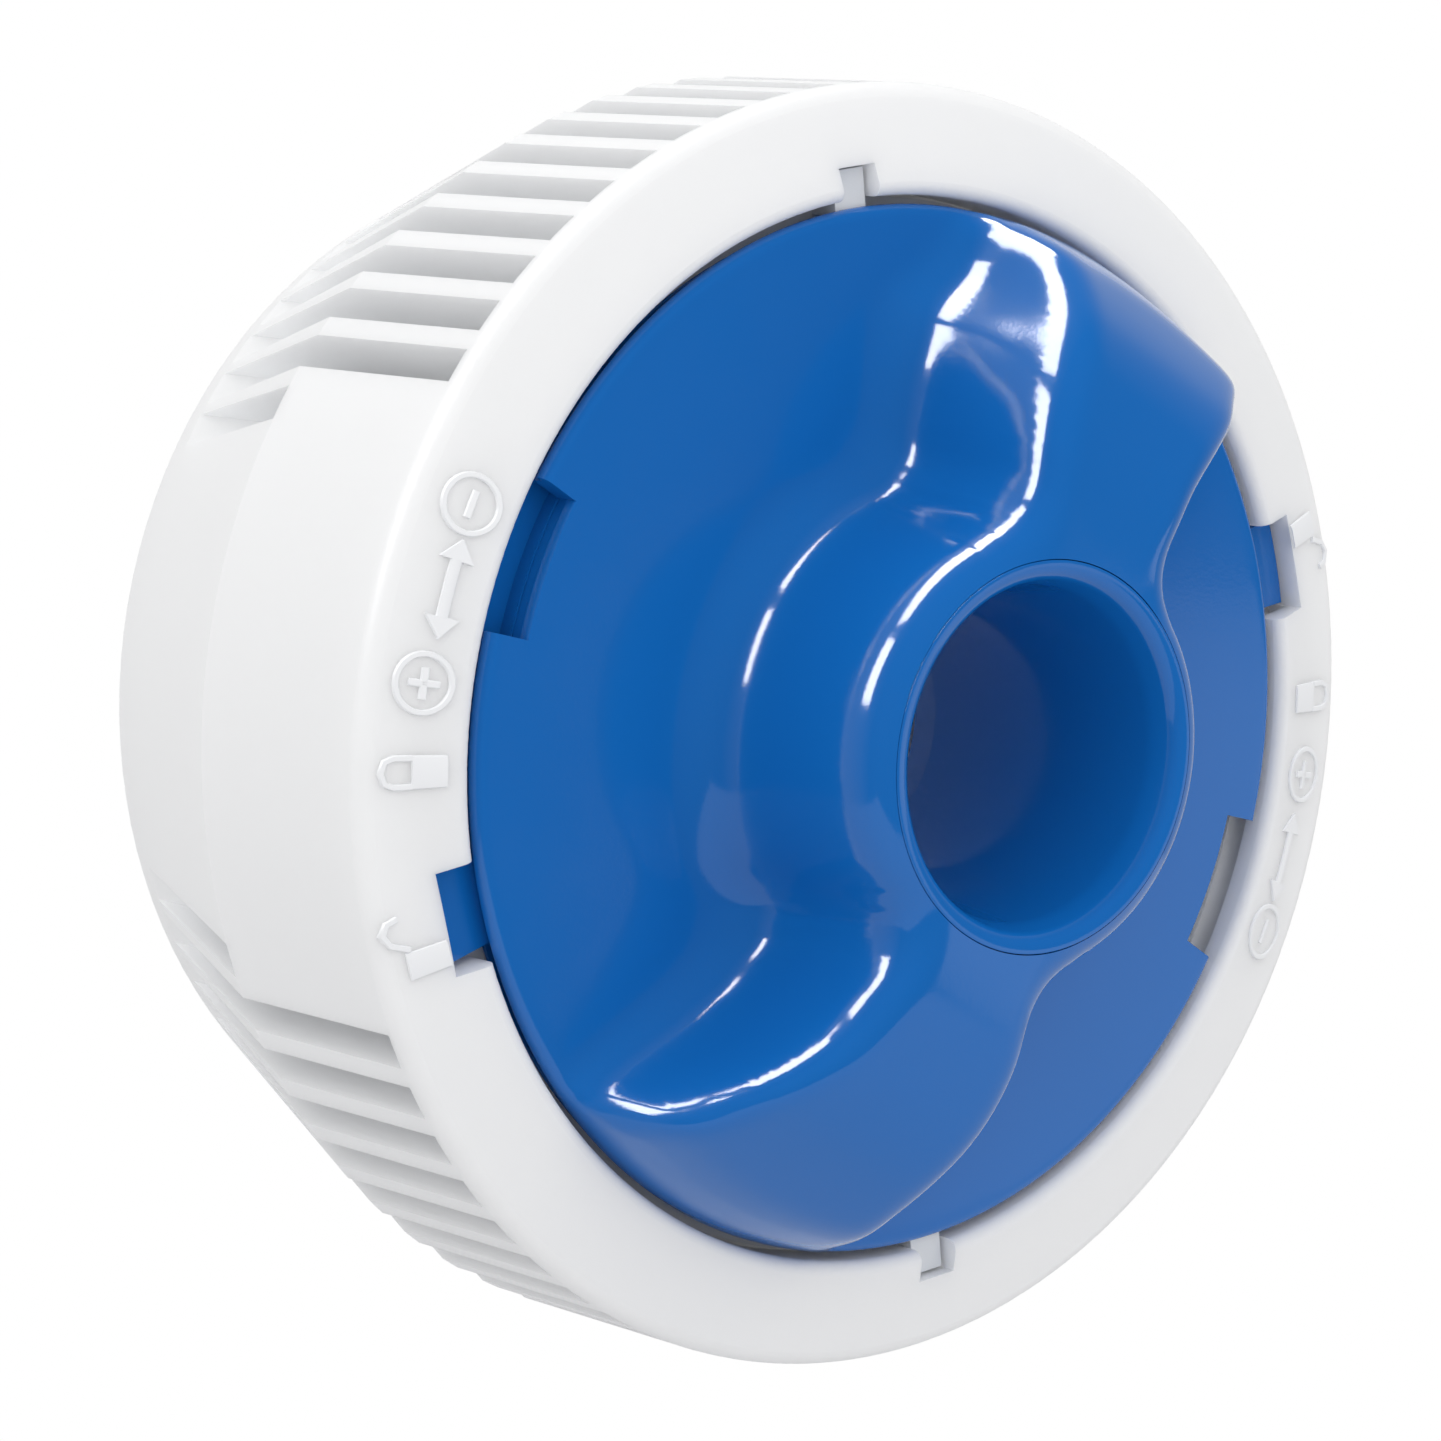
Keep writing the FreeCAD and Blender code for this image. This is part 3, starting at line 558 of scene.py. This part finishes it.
def sign_point(degrees, ring_radius, along, outward, above):
    """A place on the bezel: along the rim, outward from its circle and above its face, in millimetres."""
    radius = ring_radius * MM + outward * MM
    turn = math.radians(degrees) + along * MM / (ring_radius * MM)
    face = LIP_PLANE - BEZEL_DROP * (radius - LIP_RADIUS) / (DRUM_RADIUS - LIP_RADIUS)
    return Vector((radius * math.cos(turn), -(face + above * MM), radius * math.sin(turn)))


def ridge(work, degrees, ring_radius, line, width, closed=False):
    """A soft ridge that follows a line."""
    points = [Vector(point) for point in line]
    count = len(points)
    rows = []
    for k, point in enumerate(points):
        before = points[k - 1] if closed or k else point
        after = points[(k + 1) % count] if closed or k < count - 1 else point
        side = (after - before).normalized().orthogonal() * width / 2
        rows.append([work.verts.new(sign_point(degrees, ring_radius, *(point + side * share), above))
                     for share, above in RIDGE_SECTION])
    for k in range(count if closed else count - 1):
        here, there = rows[k], rows[(k + 1) % count]
        for m in range(len(here)):
            work.faces.new((here[m - 1], here[m], there[m], there[m - 1]))
    if not closed:
        work.faces.new(rows[0])
        work.faces.new(rows[-1][::-1])


def arrow_head(work, degrees, ring_radius, tip, base):
    """A solid arrow head that points along the rim."""
    outline = [(tip, 0.0), (base, HEAD_HALF_WIDTH), (base, -HEAD_HALF_WIDTH)]
    middle = Vector((tip + 2 * base, 0.0)) / 3
    crest = [Vector(point).lerp(middle, HEAD_SLOPE) for point in outline]
    low = [work.verts.new(sign_point(degrees, ring_radius, *point, SIGN_ROOT)) for point in outline]
    high = [work.verts.new(sign_point(degrees, ring_radius, *point, SIGN_RELIEF)) for point in crest]
    work.faces.new(high)
    work.faces.new(low[::-1])
    for k in range(3):
        work.faces.new((low[k - 1], low[k], high[k], high[k - 1]))


def stroke(work, degrees, ring_radius, kind, *values):
    """One stroke of a sign."""
    if kind == "ring":
        turns = [k * FULL_TURN / RING_STEPS for k in range(RING_STEPS)]
        line = [(values[0] * math.cos(turn), values[0] * math.sin(turn)) for turn in turns]
        ridge(work, degrees, ring_radius, line, RING_WIDTH, closed=True)
    elif kind == "bar":
        start, end, width = Vector(values[:2]), Vector(values[2:4]), values[4]
        line = [start.lerp(end, k / BAR_STEPS) for k in range(BAR_STEPS + 1)]
        ridge(work, degrees, ring_radius, line, width)
    elif kind == "line":
        ridge(work, degrees, ring_radius, values[0], LINE_WIDTH)
    else:
        arrow_head(work, degrees, ring_radius, *values)


def bezel_signs():
    """The signs beside the notch, twice, half a turn apart."""
    for name, (degrees, ring_radius, strokes) in SIGNS.items():
        for turn, side in ((0, "left"), (180, "right")):
            work = bmesh.new()
            for values in strokes:
                stroke(work, degrees + turn, ring_radius, *values)
            bmesh.ops.recalc_face_normals(work, faces=work.faces)
            finish_mesh(f"{name}_{side}", work, SIGN_WHITE, "drum")


lid_face()
nozzle_funnel()
lug_ledge()
bezel_signs()

# CAD pieces that keep their shape take their finish here
for name, material in {
    "drum_housing": WHITE, "rear_plate": WHITE, "centre_tube": WHITE, "tablet_basket": BASKET_WHITE,
    "plate_gasket": RUBBER, "inlet_gasket": RUBBER, "tube_seal": RUBBER, "skirt_seal": RUBBER,
    "plate_screws": STEEL, "flow_sleeve": BLUE,
}.items():
    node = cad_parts[name]
    node.data.materials.clear()
    node.data.materials.append(material)

# The stage

FLOOR_HEIGHT = -0.30
FLOOR_HALF = 0.8
# the even light: its level, and how much stronger it gets towards each of the world's directions
LIGHT_LEVEL = 0.77
LIGHT_LEAN = (-0.11, -0.20, 0.44)
# what gloss sees along the world's Y: where the grade starts and ends, and the strength at each
GLOSS_GRADE = {"From_Min": -0.35, "From_Max": 0.75, "To_Min": 0.08, "To_Max": 0.85}
# the camera's place, seen from the middle of the lip: degrees to the side and up, and distances in drum radii
CAMERA_TURN = math.radians(-39.408)
CAMERA_RISE = math.radians(8.136)
CAMERA_REACH = 8.439
CAMERA_LEFT = 0.2828
CAMERA_UP = 0.0204
SENSOR_WIDTH = 36.0
FOCAL_LENGTH = 136.46


def stage_floor():
    """A wide floor that is white to the camera and pale to the object."""
    mesh = bpy.data.meshes.new("stage_floor")
    work = bmesh.new()
    bmesh.ops.create_grid(work, x_segments=1, y_segments=1, size=FLOOR_HALF)
    work.to_mesh(mesh)
    work.free()
    floor = bpy.data.objects.new("stage_floor", mesh)
    floor.location = (0, 0, FLOOR_HEIGHT)
    bpy.context.scene.collection.objects.link(floor)
    finish = Finish("stage_white")
    seen = finish.node("ShaderNodeLightPath").outputs["Is Camera Ray"]
    glow = finish.node("ShaderNodeEmission", Color=(1, 1, 1, 1), Strength=1.0)
    matt = finish.node("ShaderNodeBsdfDiffuse", Color=(0.62, 0.62, 0.63, 1))
    mixer = finish.node("ShaderNodeMixShader", Fac=seen)
    finish.connect(mixer.inputs[1], matt.outputs[0])
    finish.connect(mixer.inputs[2], glow.outputs[0])
    finish.connect(finish.output.inputs["Surface"], mixer.outputs[0])
    mesh.materials.append(finish.material)


def white_world():
    """White behind the object; even light on it from above; to its gloss, dark ahead and pale behind."""
    world = bpy.data.worlds.new("studio")
    bpy.context.scene.world = world
    world.use_nodes = True
    studio = Shading(world.node_tree)
    back = studio.tree.nodes["Background"]
    back.inputs["Color"].default_value = (1, 1, 1, 1)
    direction = studio.node("ShaderNodeTexCoord").outputs["Generated"]
    lean = studio.node("ShaderNodeVectorMath", {"operation": "DOT_PRODUCT"})
    studio.connect(lean.inputs[0], direction)
    studio.connect(lean.inputs[1], LIGHT_LEAN)
    even = studio.wire(lean.outputs["Value"]) + LIGHT_LEVEL
    behind = studio.node("ShaderNodeSeparateXYZ", Vector=direction).outputs["Y"]
    grade = studio.node("ShaderNodeMapRange", Value=behind, **GLOSS_GRADE).outputs["Result"]
    path = studio.node("ShaderNodeLightPath")
    gloss = studio.wire(path.outputs["Is Glossy Ray"])
    seen = studio.wire(path.outputs["Is Camera Ray"])
    light = even + gloss * (studio.wire(grade) - even)
    light = light + seen * (1.0 - light)
    studio.connect(back.inputs["Strength"], light)


def softbox(name, place, aim, width, height, power):
    """A rectangular lamp that points at a place and shows in reflections only."""
    light = bpy.data.lights.new(name, "AREA")
    light.shape = "RECTANGLE"
    light.size = width
    light.size_y = height
    light.energy = power
    lamp = bpy.data.objects.new(name, light)
    lamp.location = place
    lamp.rotation_euler = (Vector(aim) - Vector(place)).to_track_quat("-Z", "Y").to_euler()
    lamp.visible_diffuse = False
    bpy.context.scene.collection.objects.link(lamp)


def camera():
    """The photograph's viewpoint: to the left of the axis, a little above it."""
    level = math.cos(CAMERA_RISE)
    back = Vector((math.sin(CAMERA_TURN) * level, -math.cos(CAMERA_TURN) * level, math.sin(CAMERA_RISE)))
    right = (-back).cross(Vector((0, 0, 1))).normalized()
    up = right.cross(-back).normalized()
    lens = bpy.data.cameras.new("camera")
    lens.sensor_width = SENSOR_WIDTH
    lens.lens = FOCAL_LENGTH
    eye = bpy.data.objects.new("camera", lens)
    shift = back * CAMERA_REACH - right * CAMERA_LEFT + up * CAMERA_UP
    eye.location = Vector((0, -LIP_PLANE, 0)) + shift * DRUM_RADIUS
    eye.rotation_euler = (-back).to_track_quat("-Z", "Y").to_euler()
    bpy.context.scene.collection.objects.link(eye)
    bpy.context.scene.camera = eye


stage_floor()
white_world()
softbox("glint_top", place=(-0.107, 0.145, 1.2), aim=(-0.058, -0.07, 0), width=1.18, height=0.30, power=20.0)
softbox("glint_left", place=(-0.96, 0.05, 0.72), aim=(0, -0.07, 0), width=0.30, height=0.64, power=11.0)
softbox("sheen_right", place=(1.033, -0.809, -0.354), aim=(-0.057, -0.109, -0.234), width=0.765, height=0.43,
        power=0.77)
camera()
bpy.context.scene.view_settings.view_transform = "Standard"
